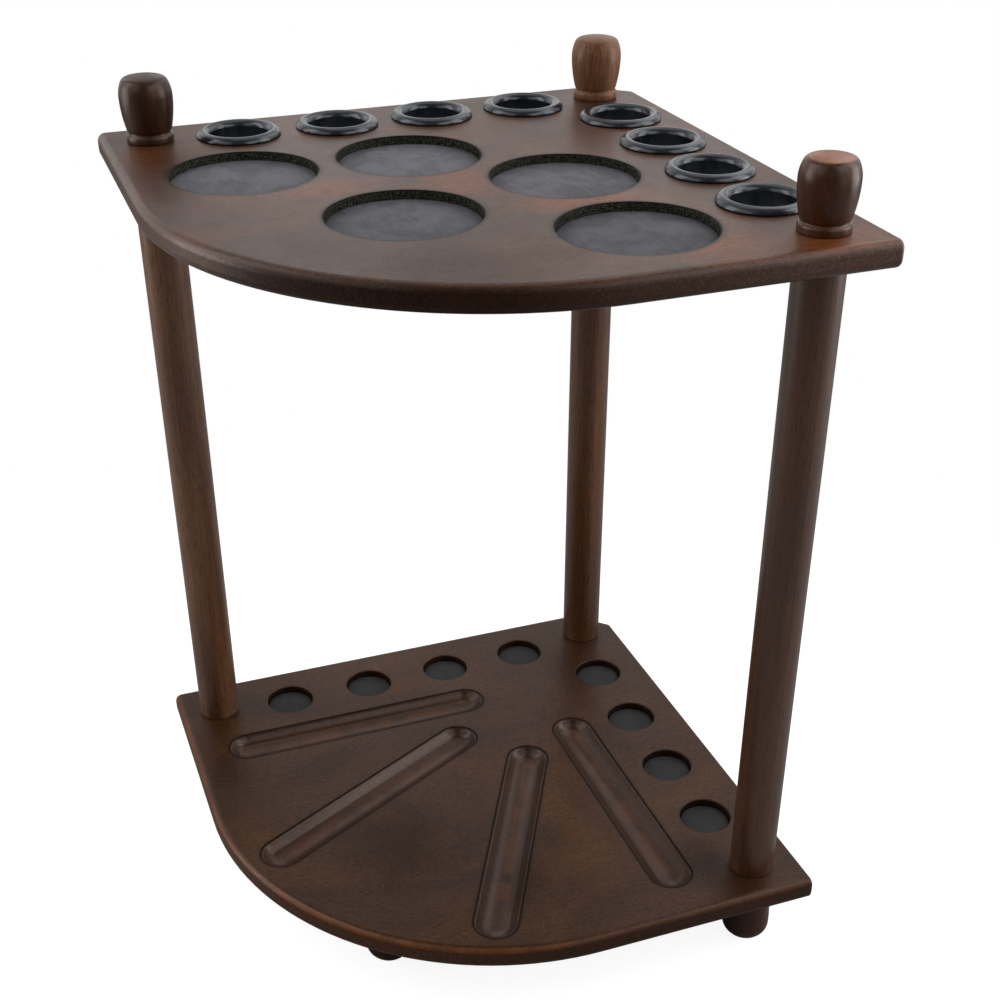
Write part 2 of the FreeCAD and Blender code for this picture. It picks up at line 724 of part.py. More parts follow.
def copies(name, source, z, flipped):
    """One node with a copy of the source at each post, each its own solid."""
    solids = []
    for x, y in POST_SPOTS:
        solid = source.Shape.copy()
        solid.Placement = FreeCAD.Placement()
        if flipped:
            solid.rotate(V(0, 0, 0), V(1, 0, 0), 180)
        solid.translate(V(num(x), num(y), num(z)))
        solids.append(solid)
    node = doc.addObject("Part::Feature", name)
    node.Label = name
    node.Shape = Part.makeCompound(solids)
    return node


# -------------------------------------------------------------------- build
upper_board()
lower_board()
for name, spot in POSTS:
    post(name, *spot)
    finial(name, *spot)
    foot(name, *spot)
foot("front", *FRONT_FOOT)
for name, spot in CUES:
    grommet(name, *spot)
for name, spot in CUPS:
    round_pad("cup_pad_" + name, spot, HIGH_TOP + " - params.cup_depth",
              "params.cup_radius - params.pad_gap", "params.cup_pad", "params.cup_pad_edge")
for name, spot in BUTTS:
    round_pad("butt_pad_" + name, spot, LOW_TOP + " - params.butt_depth",
              "params.butt_radius - 2 * params.pad_gap", "params.butt_pad",
              "params.butt_pad_edge")

# a long bolt also passes through a board; the front foot's bolt does not
long_bolt = hanger_bolt("long_hanger_bolt_pattern", "params.bolt_steel",
                        "(-params.board - params.bolt_steel)")
short_bolt = hanger_bolt("front_foot_hanger_bolt", "params.short_steel",
                         "(-params.short_steel)")
long_nut = insert_nut("post_insert_pattern", "params.nut_length")
short_nut = insert_nut("front_foot_insert", "params.nut_short")

# the front foot's bolt stands point down in the foot, its insert in the board
move(short_bolt, *FRONT_FOOT, LOW, flipped=True)
move(short_nut, *FRONT_FOOT, LOW, flipped=True)
doc.recompute()

fasteners = [
    copies("finial_hanger_bolts", long_bolt, HIGH_TOP, flipped=False),
    copies("foot_hanger_bolts", long_bolt, LOW, flipped=True),
    copies("upper_post_inserts", long_nut, HIGH, flipped=False),
    copies("lower_post_inserts", long_nut, LOW_TOP, flipped=True),
]
doc.recompute()

# ---------------------------------------------------------- check and write
for obj in doc.Objects:
    if "Invalid" in obj.State or "Error" in obj.State:
        raise SystemExit("%s: %s" % (obj.Label, obj.State))

# the patterns are only there to be copied
patterns = {long_bolt.Label, long_nut.Label}
nodes = [
    obj for obj in doc.Objects
    if obj.isDerivedFrom("PartDesign::Body") and obj.Label not in patterns
]
nodes += fasteners
for node in nodes:
    if node.Shape.isNull() or not node.Shape.isValid() or not node.Shape.Solids:
        raise SystemExit(node.Label + " has no valid solid")

os.makedirs("parts", exist_ok=True)
for node in nodes:
    node.Shape.exportStep("parts/%s.step" % node.Label)
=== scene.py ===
import math

import bpy
from mathutils import Matrix, Vector, noise


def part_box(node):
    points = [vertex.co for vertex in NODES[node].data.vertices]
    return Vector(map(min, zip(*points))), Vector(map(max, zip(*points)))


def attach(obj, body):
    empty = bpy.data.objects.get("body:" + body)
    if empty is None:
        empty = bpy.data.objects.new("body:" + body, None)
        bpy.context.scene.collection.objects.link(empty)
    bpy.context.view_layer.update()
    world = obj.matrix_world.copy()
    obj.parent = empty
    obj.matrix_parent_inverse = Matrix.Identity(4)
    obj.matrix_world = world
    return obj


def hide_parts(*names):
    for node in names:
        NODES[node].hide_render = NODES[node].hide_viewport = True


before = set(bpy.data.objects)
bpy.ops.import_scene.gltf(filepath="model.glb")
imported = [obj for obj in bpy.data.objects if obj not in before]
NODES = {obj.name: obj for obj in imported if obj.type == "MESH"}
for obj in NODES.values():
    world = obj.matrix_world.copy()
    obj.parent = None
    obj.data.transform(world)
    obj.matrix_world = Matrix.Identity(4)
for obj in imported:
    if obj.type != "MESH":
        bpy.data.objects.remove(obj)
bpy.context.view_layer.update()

scene = bpy.context.scene
scene.view_settings.view_transform = "Standard"
scene.view_settings.look = "None"


# --------------------------------------------------------------------------
# Small kit for building shader graphs
# --------------------------------------------------------------------------
class Graph:
    def __init__(self, name, world=False):
        self.mat = bpy.data.materials.new(name)
        self.mat.use_nodes = True
        self.tree = self.mat.node_tree
        self.tree.nodes.clear()
        self.out = self.tree.nodes.new("ShaderNodeOutputMaterial")
        self.coord = self.tree.nodes.new("ShaderNodeTexCoord").outputs["Object"]
        geo = self.tree.nodes.new("ShaderNodeNewGeometry")
        if world:
            self.coord = geo.outputs["Position"]
        self.normal = geo.outputs["Normal"]
        self.geo = geo

    def link(self, a, b):
        self.tree.links.new(a, b)

    def put(self, value, socket):
        if isinstance(value, bpy.types.NodeSocket):
            self.link(value, socket)
        elif value is not None:
            if socket.type == "RGBA" and len(value) == 3:
                value = (*value, 1.0)
            socket.default_value = value

    def math(self, op, a, b=None, c=None, clamp=False):
        n = self.tree.nodes.new("ShaderNodeMath")
        n.operation = op
        n.use_clamp = clamp
        self.put(a, n.inputs[0])
        if b is not None:
            self.put(b, n.inputs[1])
        if c is not None:
            self.put(c, n.inputs[2])
        return n.outputs[0]

    def add(self, a, b):
        return self.math("ADD", a, b)

    def sub(self, a, b):
        return self.math("SUBTRACT", a, b)

    def mul(self, a, b):
        return self.math("MULTIPLY", a, b)

    def vmath(self, op, a, b=None, scale=None):
        n = self.tree.nodes.new("ShaderNodeVectorMath")
        n.operation = op
        self.put(a, n.inputs[0])
        if b is not None:
            self.put(b, n.inputs[1])
        if scale is not None:
            self.put(scale, n.inputs["Scale"])
        return n.outputs["Value"] if op in ("LENGTH", "DOT_PRODUCT", "DISTANCE") else n.outputs["Vector"]

    def split(self, v):
        n = self.tree.nodes.new("ShaderNodeSeparateXYZ")
        self.put(v, n.inputs[0])
        return n.outputs

    def join(self, x, y, z):
        n = self.tree.nodes.new("ShaderNodeCombineXYZ")
        for i, v in enumerate((x, y, z)):
            self.put(v, n.inputs[i])
        return n.outputs[0]

    def noise(self, vec, scale, detail=2.0, rough=0.5, distort=0.0, color=False):
        n = self.tree.nodes.new("ShaderNodeTexNoise")
        self.put(vec, n.inputs["Vector"])
        self.put(scale, n.inputs["Scale"])
        self.put(detail, n.inputs["Detail"])
        self.put(rough, n.inputs["Roughness"])
        self.put(distort, n.inputs["Distortion"])
        return n.outputs["Color"] if color else n.outputs["Fac"]

    def voronoi(self, vec, scale, feature="F1", rand=1.0):
        n = self.tree.nodes.new("ShaderNodeTexVoronoi")
        n.feature = feature
        self.put(vec, n.inputs["Vector"])
        self.put(scale, n.inputs["Scale"])
        self.put(rand, n.inputs["Randomness"])
        return n.outputs["Distance"]

    def map(self, v, a, b, c=0.0, d=1.0, smooth=True):
        n = self.tree.nodes.new("ShaderNodeMapRange")
        n.interpolation_type = "SMOOTHSTEP" if smooth else "LINEAR"
        n.clamp = True
        self.put(v, n.inputs["Value"])
        for key, val in (("From Min", a), ("From Max", b), ("To Min", c), ("To Max", d)):
            self.put(val, n.inputs[key])
        return n.outputs["Result"]

    def mix(self, fac, a, b, mode="MIX"):
        n = self.tree.nodes.new("ShaderNodeMix")
        n.data_type = "RGBA"
        n.blend_type = mode
        n.clamp_factor = True
        self.put(fac, n.inputs[0])
        self.put(a, n.inputs[6])
        self.put(b, n.inputs[7])
        return n.outputs[2]

    def scale(self, color, factor):
        """Colour times a grey factor."""
        return self.vmath("SCALE", color, scale=factor)

    def stretch(self, vec, sx, sy, sz, offset=(0, 0, 0)):
        n = self.tree.nodes.new("ShaderNodeMapping")
        self.put(vec, n.inputs["Vector"])
        n.inputs["Scale"].default_value = (sx, sy, sz)
        n.inputs["Location"].default_value = offset
        return n.outputs[0]

    def bump(self, height, distance, strength=1.0, normal=None):
        n = self.tree.nodes.new("ShaderNodeBump")
        n.inputs["Distance"].default_value = distance
        n.inputs["Strength"].default_value = strength
        self.put(height, n.inputs["Height"])
        if normal is not None:
            self.put(normal, n.inputs["Normal"])
        return n.outputs[0]

    def surface(self, **sockets):
        n = self.tree.nodes.new("ShaderNodeBsdfPrincipled")
        for key, value in sockets.items():
            self.put(value, n.inputs[key.replace("_", " ")])
        self.link(n.outputs[0], self.out.inputs[0])
        return n


def srgb(r, g, b):
    def lin(c):
        c /= 255.0
        return c / 12.92 if c <= 0.04045 else ((c + 0.055) / 1.055) ** 2.4

    return (lin(r), lin(g), lin(b))


# --------------------------------------------------------------------------
# Places on the object: pad and grommet centres and board boxes read from model.glb, radii and trough lines given
# --------------------------------------------------------------------------
def centre(node):
    lo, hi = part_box(node)
    return (lo + hi) / 2


CUPS = [centre(n) for n in sorted(NODES) if n.startswith("cup_pad_")]
CUES = [centre(n) for n in sorted(NODES) if n.startswith("grommet_")]
BUTTS = [centre(n) for n in sorted(NODES) if n.startswith("butt_pad_")]
top_lo, top_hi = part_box("top_shelf")
low_lo, low_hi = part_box("bottom_shelf")
CUP_R = 0.0504
BUTT_R = 0.0204
# centre lines of the troughs in the lower board, in the board's own plan
TROUGHS = [
    ((-0.1098, 0.0349), (-0.1098, -0.1625)),
    ((-0.0580, 0.0105), (0.0360, -0.1678)),
    ((-0.0105, 0.0580), (0.1678, -0.0360)),
    ((-0.0349, 0.1098), (0.1625, 0.1098)),
]


def nearest(g, spots):
    """Plan distance to the nearest of some points."""
    x, y, _ = g.split(g.coord)
    flat = g.join(x, y, 0.0)
    best = None
    for p in spots:
        d = g.vmath("DISTANCE", flat, (p[0], p[1], 0.0))
        best = d if best is None else g.math("MINIMUM", best, d)
    return best


def nearest_line(g, lines):
    x, y, _ = g.split(g.coord)
    flat = g.join(x, y, 0.0)
    best = None
    for (ax, ay), (bx, by) in lines:
        run = math.hypot(bx - ax, by - ay)
        rel = g.vmath("SUBTRACT", flat, (ax, ay, 0.0))
        t = g.vmath("DOT_PRODUCT", rel, ((bx - ax) / run, (by - ay) / run, 0.0))
        t = g.math("MINIMUM", g.math("MAXIMUM", t, 0.0), run)
        foot = g.vmath("SCALE", ((bx - ax) / run, (by - ay) / run, 0.0), scale=t)
        d = g.vmath("DISTANCE", rel, foot)
        best = d if best is None else g.math("MINIMUM", best, d)
    return best


def patch(g, warp, x, y, rx, ry, turn):
    """Soft-edged, ragged oval on a board, 1 at its middle and 0 outside."""
    px, py, _ = g.split(g.coord)
    wx, wy, _ = g.split(warp)
    dx = g.add(g.sub(px, x), g.mul(g.sub(wx, 0.5), 0.9 * min(rx, ry)))
    dy = g.add(g.sub(py, y), g.mul(g.sub(wy, 0.5), 0.9 * min(rx, ry)))
    c, q = math.cos(math.radians(turn)), math.sin(math.radians(turn))
    ax = g.mul(g.add(g.mul(dx, c), g.mul(dy, q)), 1.0 / rx)
    ay = g.mul(g.sub(g.mul(dy, c), g.mul(dx, q)), 1.0 / ry)
    r = g.vmath("LENGTH", g.join(ax, ay, 0.0))
    return g.map(r, 0.15, 1.15, 1.0, 0.0)


# --------------------------------------------------------------------------
# Stained wood
# --------------------------------------------------------------------------
# darker, warmer and duller patches on each board, partly the colouring of the stained wood itself and partly painted
# light and shade: x, y, half-widths, turn, strength
STAIN_AND_LIGHT_PATCHES = {
    "top": (
        ("dark", 0.160, -0.050, 0.045, 0.060, -15, 0.62),
        ("dark", 0.155, 0.010, 0.040, 0.028, 0, 0.45),
        ("dark", 0.090, -0.120, 0.050, 0.035, 30, 0.35),
        ("dark", -0.045, -0.182, 0.050, 0.024, 0, 0.70),
        ("matt", -0.095, -0.160, 0.080, 0.046, 5, 0.95),
        ("dark", -0.080, 0.095, 0.040, 0.030, -20, 0.20),
        ("warm", 0.070, 0.060, 0.026, 0.056, -8, 1.00),
        ("warm", 0.000, 0.000, 0.050, 0.030, 20, 0.85),
        ("warm", -0.015, -0.085, 0.026, 0.042, 0, 0.80),
        ("warm", 0.190, 0.175, 0.030, 0.050, 0, 1.00),
        ("warm", 0.178, 0.105, 0.034, 0.046, 0, 0.85),
        ("warm", -0.140, -0.190, 0.050, 0.018, 0, 0.30),
    ),
    "low": (
        ("dark", 0.060, -0.080, 0.065, 0.060, 0, 0.80),
        ("dark", 0.135, 0.000, 0.045, 0.028, -20, 0.60),
        ("dark", -0.060, -0.110, 0.022, 0.055, 20, 0.40),
        ("dark", 0.160, 0.140, 0.045, 0.028, 0, 0.75),
        ("dark", -0.130, 0.140, 0.050, 0.024, 0, 0.45),
        ("dark", -0.020, 0.140, 0.060, 0.016, 0, 0.30),
        ("warm", 0.110, 0.062, 0.060, 0.026, -8, 0.60),
        ("warm", 0.055, 0.052, 0.030, 0.022, -25, 0.60),
        ("dark", -0.085, -0.190, 0.040, 0.022, 0, 0.55),
        ("warm", 0.030, -0.180, 0.040, 0.022, 10, 0.40),
        ("warm", -0.150, 0.000, 0.020, 0.090, 0, 0.35),
    ),
}


def board_wood(name, dark, mid, warm, seed, kind, gain):
    """Stained, lacquered veneer on a pressed core.  The grain runs along Y."""
    g = Graph(name)
    x, y, z = g.split(g.coord)
    # broad figure of the stain
    cloud = g.noise(g.stretch(g.coord, 1.0, 0.75, 1.0, (seed, 0, 0)), 7.0, 2.5, 0.55, 0.6)
    cloud = g.map(cloud, 0.30, 0.70, 0.15, 0.85)
    warmth = g.noise(g.stretch(g.coord, 1.0, 0.6, 1.0, (0, seed + 3.1, 0)), 11.0, 3.0, 0.6, 0.9)
    warmth = g.map(warmth, 0.40, 0.68)
    color = g.mix(cloud, dark, mid)
    color = g.mix(g.mul(warmth, 0.45), color, warm)
    # grain lines, wavy along the board
    wob = g.noise(g.stretch(g.coord, 1.0, 1.0, 1.0, (seed, seed, 0)), 9.0, 2.0, 0.5)
    wavy = g.join(g.add(x, g.mul(g.sub(wob, 0.5), 0.012)), y, z)
    grain = g.noise(g.stretch(wavy, 260.0, 9.0, 40.0, (seed, 1, 0)), 1.0, 4.0, 0.6, 0.2)
    fine = g.noise(g.stretch(wavy, 1300.0, 55.0, 300.0, (2, seed, 0)), 1.0, 3.0, 0.55)
    mottle = g.noise(g.coord, 620.0, 3.0, 0.65)
    fleck = g.noise(g.stretch(wavy, 620.0, 190.0, 300.0, (seed, 9, 0)), 1.0, 3.0, 0.6)
    warp = g.noise(g.stretch(g.coord, 1.0, 1.0, 1.0, (seed, 0.3 * seed, 0)), 26.0, 3.0, 0.6, color=True)
    dull = 0.0
    # each patch mixes the board's own colouring with painted light and shade
    for tone, bx, by, rx, ry, turn, much in STAIN_AND_LIGHT_PATCHES[kind]:
        spot = g.mul(patch(g, warp, bx, by, rx, ry, turn), much)
        dull = g.math("MAXIMUM", g.mul(spot, {"warm": 0.42, "dark": 1.0, "matt": 1.45}[tone]), dull)
        to = {"warm": g.scale(warm, 1.10), "matt": g.scale(mid, 0.95)}.get(tone) or g.scale(dark, 0.72)
        color = g.mix(spot, color, to)
    if kind == "low":
        # knot figure: the grain bends round one spot
        kx, ky = g.sub(x, 0.073), g.mul(g.add(y, 0.073), 0.62)
        ring = g.vmath("LENGTH", g.join(kx, ky, 0.0))
        wave = g.math("SINE", g.mul(g.add(ring, g.mul(g.noise(g.coord, 60.0, 2.0, 0.5), 0.010)), 1250.0))
        near_knot = g.map(ring, 0.004, 0.034, 1.0, 0.0)
        color = g.scale(color, g.sub(1.0, g.mul(g.mul(near_knot, wave), 0.09)))
    color = g.scale(color, g.map(grain, 0.25, 0.75, 0.94, 1.06, False))
    color = g.scale(color, g.map(fine, 0.3, 0.7, 0.88, 1.12, False))
    color = g.scale(color, g.map(fleck, 0.3, 0.7, 0.72, 1.28, False))
    color = g.scale(color, g.map(mottle, 0.3, 0.7, 0.68, 1.32, False))
    # short dark pores
    pores = g.noise(g.stretch(wavy, 1500.0, 130.0, 500.0, (seed, 5, 0)), 1.0, 1.0, 0.5)
    pore = g.map(pores, 0.66, 0.74)
    color = g.mix(g.mul(pore, 0.35), color, g.scale(dark, 0.6))
    # board edges: stained core, darker and finely pitted
    nz = g.math("ABSOLUTE", g.split(g.normal)[2])
    side = g.map(nz, 0.55, 0.90, 1.0, 0.0)
    pits_a = g.noise(g.coord, 850.0, 2.5, 0.65)
    pits_b = g.noise(g.coord, 430.0, 3.0, 0.65)
    pit = g.map(pits_a, 0.58, 0.66)
    edge_tone = g.mix(g.map(pits_b, 0.3, 0.7), srgb(40, 22, 13), srgb(62, 38, 24))
    edge_tone = g.mix(g.mul(pit, 0.75), edge_tone, srgb(16, 9, 6))
    # painted light and shade on the board edges: lighter where the light catches the left end, darker further along
    # the front; s runs from the left corner (-0.27) to the right one (0.27)
    s = g.add(g.mul(x, 0.334), g.mul(y, 0.943))
    if kind == "top":
        painted_edge_light = g.mix(g.map(s, -0.185, -0.105), (2.2, 2.5, 2.8), (0.54, 0.42, 0.30))
        painted_edge_light = g.mix(g.map(s, 0.020, 0.125), painted_edge_light, (0.92, 0.78, 0.66))
        painted_edge_light = g.mix(g.map(s, 0.140, 0.205), painted_edge_light, (1.15, 1.25, 1.30))
        gleam = g.mix(g.map(s, -0.185, -0.105), (1.55, 1.55, 1.55), (0.62, 0.62, 0.62))
        gleam = g.mix(g.map(s, 0.020, 0.205), gleam, (1.1, 1.1, 1.1))
    else:
        painted_edge_light = g.mix(g.map(s, -0.060, 0.110), (2.3, 2.0, 1.6), (1.12, 0.98, 0.78))
        gleam = g.mix(g.map(s, -0.060, 0.110), (1.15, 1.15, 1.15), (0.90, 0.90, 0.90))
    edge_tone = g.vmath("MULTIPLY", edge_tone, painted_edge_light)
    color = g.mix(g.mul(side, 0.85), color, edge_tone)
    gleam_x = g.split(gleam)[0]
    height = g.add(g.mul(grain, 0.20), g.add(g.mul(fine, 0.20), g.mul(mottle, 0.95)))
    height = g.sub(height, g.mul(pore, 0.25))
    height = g.sub(height, g.mul(g.mul(side, pit), 1.1))
    height = g.add(height, g.mul(g.mul(side, pits_b), 0.9))
    rough = g.add(0.34, g.mul(g.noise(g.coord, 60.0, 3.0, 0.6), 0.12))
    edge_shine = g.add(1.0, g.mul(side, g.sub(gleam_x, 1.0)))
    satin = g.mul(edge_shine, g.sub(1.0, g.mul(dull, 0.42)))
    satin = g.mul(satin, g.map(g.add(g.mul(fleck, 0.5), g.mul(mottle, 0.5)), 0.35, 0.65, 0.84, 1.16, False))
    if kind == "top":
        satin = g.mul(satin, g.map(s, 0.150, 0.240, 1.0, 1.14))
    shine = 1.0
    lean = None
    coat = 0.16
    coat_rough = 0.24
    # nothing drawn round the recesses shows through on the underside
    floor_z = (top_lo if kind == "top" else low_lo).z
    beneath = g.map(z, floor_z + 0.003, floor_z + 0.006, 1.0, 0.0)
    if kind == "top":
        d = g.add(nearest(g, CUPS), beneath)
        below = g.map(z, top_hi.z - 0.0012, top_hi.z - 0.0004, 1.0, 0.0)
        wall = g.mul(g.map(d, CUP_R + 0.0012, CUP_R + 0.0006, 0.0, 1.0), below)
        speck = g.noise(g.coord, 1100.0, 3.0, 0.7)
        speck2 = g.noise(g.coord, 420.0, 2.0, 0.6)
        wall_col = g.mix(g.map(speck, 0.42, 0.66), srgb(22, 24, 24), srgb(98, 104, 102))
        wall_col = g.mix(g.map(speck2, 0.52, 0.72), wall_col, srgb(22, 24, 23))
        halo = g.map(g.add(d, g.mul(g.sub(g.noise(g.coord, 120.0, 3.0, 0.6), 0.5), 0.003)), CUP_R + 0.0005, CUP_R + 0.0052, 0.85, 0.0)
        color = g.mix(halo, color, srgb(34, 33, 26))
        rim = g.map(d, CUP_R + 0.0007, CUP_R + 0.0020, 1.0, 0.0)
        color = g.mix(g.mul(rim, 0.8), color, srgb(14, 14, 11))
        shine = g.sub(1.0, g.math("MAXIMUM", g.mul(rim, 0.85), g.mul(halo, 0.45)))
        shine = g.mul(shine, satin)
        coat = g.mul(shine, 0.16)
        color = g.mix(wall, color, wall_col)
        rough = g.add(rough, g.mul(wall, 0.35))
        height = g.add(height, g.mul(g.mul(wall, speck), 6.0))
        # painted shade: a dark ring on the board just outside each grommet flange, where the flange meets the wood
        e = g.add(nearest(g, CUES), beneath)
        flange_contact_shade = g.map(e, 0.0300, 0.0335, 0.75, 0.0)
        color = g.mix(flange_contact_shade, color, srgb(34, 24, 19))
    else:
        d = g.add(nearest(g, BUTTS), beneath)
        wall = g.mul(g.map(d, BUTT_R + 0.0010, BUTT_R + 0.0004, 0.0, 1.0), g.map(z, low_hi.z - 0.0011, low_hi.z - 0.0004, 1.0, 0.0))
        halo = g.map(d, BUTT_R + 0.0006, BUTT_R + 0.0024, 0.9, 0.0)
        color = g.mix(halo, color, srgb(26, 17, 12))
        color = g.mix(wall, color, g.mix(g.map(mottle, 0.35, 0.65), srgb(22, 13, 9), srgb(44, 26, 17)))
        t = g.add(nearest_line(g, TROUGHS), beneath)
        # painted light: a redder, lighter brown along the upper arris, where the roundover catches the light,
        # strongest towards the left end
        arris = g.mul(g.mul(g.map(nz, 0.30, 0.55), g.map(nz, 0.86, 0.97, 1.0, 0.0)), g.map(t, 0.0180, 0.0190))
        patchy_arris_light = g.map(g.noise(g.coord, 34.0, 3.0, 0.6), 0.38, 0.62, 0.45, 1.0)
        arris = g.mul(g.mul(arris, patchy_arris_light), g.map(s, 0.000, 0.130, 0.60, 0.12))
        color = g.mix(arris, color, srgb(138, 84, 50))
        # the cutter leaves a flatter floor and steeper walls than one arc: the
        # difference of the two profiles, in metres, leans the shading normal
        tt = g.math("MINIMUM", t, 0.0148)
        steep_a = g.math("MAXIMUM", g.sub(tt, 0.0080), 0.0)
        steep_b = g.math("MAXIMUM", g.sub(tt, 0.0108), 0.0)
        wanted = g.mul(g.sub(g.mul(steep_a, steep_a), g.mul(steep_b, steep_b)), 1.55 / 0.0056)
        arc = g.sub(0.02007, g.math("SQRT", g.sub(0.02007 ** 2, g.mul(tt, tt))))
        lean = g.sub(wanted, arc)
        # painted light: a lighter, warmer, patchy stripe down the middle of each trough, where the flat floor reflects
        # differently from the walls
        floor_light_patches = g.map(g.noise(g.coord, 45.0, 2.0, 0.5), 0.35, 0.60)
        color = g.mix(g.mul(g.mul(g.map(t, 0.0030, 0.0085, 1.0, 0.0), floor_light_patches), 0.55), color, srgb(104, 62, 34))
        # painted reflection and shade: two dark lines along each trough, one at the lip where it reflects the dark
        # underside of the top shelf, one a little further in where the near wall drops out of sight
        lip_painted_shade = g.mul(g.map(t, 0.0158, 0.0168, 0.0, 1.0), g.map(t, 0.0174, 0.0190, 1.0, 0.0))
        wall_painted_shade = g.mul(g.map(t, 0.0134, 0.0143, 0.0, 1.0), g.map(t, 0.0147, 0.0157, 1.0, 0.0))
        broken = g.map(g.noise(g.coord, 180.0, 2.0, 0.6), 0.30, 0.60, 0.55, 1.0)
        color = g.mix(g.mul(lip_painted_shade, g.mul(broken, 0.90)), color, srgb(18, 12, 10))
        color = g.mix(g.mul(wall_painted_shade, g.mul(broken, 0.80)), color, srgb(20, 13, 10))
        color = g.mix(g.map(t, 0.0178, 0.0230, 0.28, 0.0), color, srgb(26, 17, 12))
        shine = g.mul(g.sub(1.0, g.mul(lip_painted_shade, 0.8)), satin)
        in_cove = g.map(t, 0.0150, 0.0166, 1.0, 0.0)
        coat = g.mul(g.add(0.12, g.mul(in_cove, 0.18)), shine)
        coat_rough = g.sub(0.24, g.mul(in_cove, 0.04))
    color = g.vmath("MULTIPLY", color, gain)
    under = None if lean is None else g.bump(lean, 1.0, 0.28)
    normal = g.bump(height, 0.00013, 0.75, under)
    g.surface(
        Base_Color=color,
        Roughness=rough,
        IOR=1.45,
        Coat_Weight=coat,
        Coat_Roughness=coat_rough,
        Coat_Normal=g.bump(height, 0.00008, 0.45, under),
        Normal=normal,
        Specular_IOR_Level=g.mul(shine, 0.66 if kind == "top" else 0.41),
        Specular_Tint=(1.0, 0.70, 0.60),
    )
    return g.mat


def turned_wood(name, dark, mid, warm, seed, top_tone=None, soften=None, ring_z=None, gain=(1.0, 1.0, 1.0), shine=1.0):
    """Turned, stained hardwood with the grain running up the piece."""
    g = Graph(name)
    x, y, z = g.split(g.coord)
    shifted = g.vmath("ADD", g.coord, (seed, seed * 1.7, 0.0))
    cloud = g.map(g.noise(g.stretch(shifted, 26.0, 26.0, 5.0), 1.0, 2.5, 0.55, 0.4), 0.32, 0.68)
    color = g.mix(cloud, dark, mid)
    streak = g.map(g.noise(g.stretch(shifted, 90.0, 90.0, 4.0), 1.0, 4.0, 0.62, 0.5), 0.38, 0.70)
    color = g.mix(g.mul(streak, 0.6), color, warm)
    grain = g.noise(g.stretch(shifted, 520.0, 520.0, 16.0), 1.0, 4.0, 0.6, 0.3)
    color = g.scale(color, g.map(grain, 0.28, 0.72, 0.80, 1.20, False))
    pores = g.noise(g.stretch(shifted, 900.0, 900.0, 95.0), 1.0, 2.0, 0.55)
    pore = g.map(pores, 0.54, 0.66)
    color = g.mix(g.mul(pore, 0.62), color, g.scale(dark, 0.40))
    flecks = g.noise(g.stretch(shifted, 1100.0, 1100.0, 170.0, (4, 2, 1)), 1.0, 2.0, 0.55)
    color = g.mix(g.mul(g.map(flecks, 0.58, 0.70), 0.35), color, g.scale(warm, 1.5))
    if top_tone is not None:
        nz = g.split(g.normal)[2]
        cap = g.map(nz, 0.80, 0.97)
        mott = g.noise(shifted, 240.0, 3.0, 0.65)
        color = g.mix(g.mul(cap, g.map(mott, 0.25, 0.65, 0.55, 1.0)), color, top_tone)
    if ring_z is not None:
        near = g.math("ABSOLUTE", g.sub(z, ring_z))
        color = g.mix(g.map(near, 0.0004, 0.0018, 0.75, 0.0), color, g.scale(dark, 0.35))
    color = g.vmath("MULTIPLY", color, gain)
    height = g.sub(g.mul(grain, 0.5), g.mul(pore, 0.5))
    rough = g.add(0.30, g.mul(g.noise(shifted, 90.0, 3.0, 0.6), 0.14))
    eased = None
    if soften:
        # sanded arrises: the shading rolls over the edge of the cap
        soft = g.tree.nodes.new("ShaderNodeBevel")
        soft.samples = 8
        soft.inputs["Radius"].default_value = soften
        eased = soft.outputs[0]
    g.surface(
        Base_Color=color,
        Roughness=rough,
        IOR=1.45,
        Coat_Weight=0.35 * shine,
        Coat_Roughness=0.24,
        Coat_Normal=g.bump(height, 0.00007, 0.45, eased),
        Normal=g.bump(height, 0.00014, 0.7, eased),
        Specular_IOR_Level=0.55 * shine,
        Specular_Tint=(1.0, 0.74, 0.60),
    )
    return g.mat


def rubber(name, tone, light, rough, kind, world=False):
    g = Graph(name, world)
    cloudy = g.noise(g.coord, 38.0, 3.0, 0.6, 0.8)
    brushed = g.noise(g.stretch(g.coord, 60.0, 500.0, 200.0), 1.0, 3.0, 0.6)
    specks = g.noise(g.coord, 2200.0, 2.0, 0.6)
    fac = g.map(g.add(g.mul(cloudy, 0.65), g.mul(brushed, 0.35)), 0.36, 0.66)
    color = g.mix(fac, tone, light)
    color = g.scale(color, g.map(specks, 0.3, 0.7, 0.84, 1.16, False))
    r = g.add(rough, g.mul(g.sub(cloudy, 0.5), 0.16))
    height = g.add(g.mul(specks, 0.6), g.mul(g.noise(g.coord, 600.0, 3.0, 0.6), 0.6))
    extra = {}
    if kind == "grommet":
        extra = dict(Coat_Weight=0.45, Coat_Roughness=0.16)
    level = 0.5
    if kind == "cup":
        # painted shade: a darker ring against the recess wall, and a duller, darker pad towards the front of the board
        d = nearest(g, CUPS)
        x, y, _ = g.split(g.coord)
        front = g.map(g.sub(g.mul(x, 0.94), g.mul(y, 0.33)), -0.06, 0.13, 1.0, 0.0, False)
        painted_shade_factor = g.mul(g.add(0.75, g.mul(front, 0.36)), g.map(d, 0.030, 0.0502, 1.0, 0.80))
        color = g.scale(color, painted_shade_factor)
        level = g.mul(g.mul(painted_shade_factor, g.map(cloudy, 0.35, 0.65, 0.75, 1.1)), 0.42)
        extra = dict(Sheen_Weight=0.12, Sheen_Roughness=0.45, Specular_Tint=(0.93, 0.93, 1.0))
    if kind == "butt":
        level = 0.42
    if kind == "grommet":
        extra["Specular_Tint"] = (0.88, 0.92, 1.0)
    g.surface(Base_Color=color, Roughness=r, Specular_IOR_Level=level, Normal=g.bump(height, 0.00008, 0.22 if kind == "grommet" else 0.6), **extra)
    return g.mat


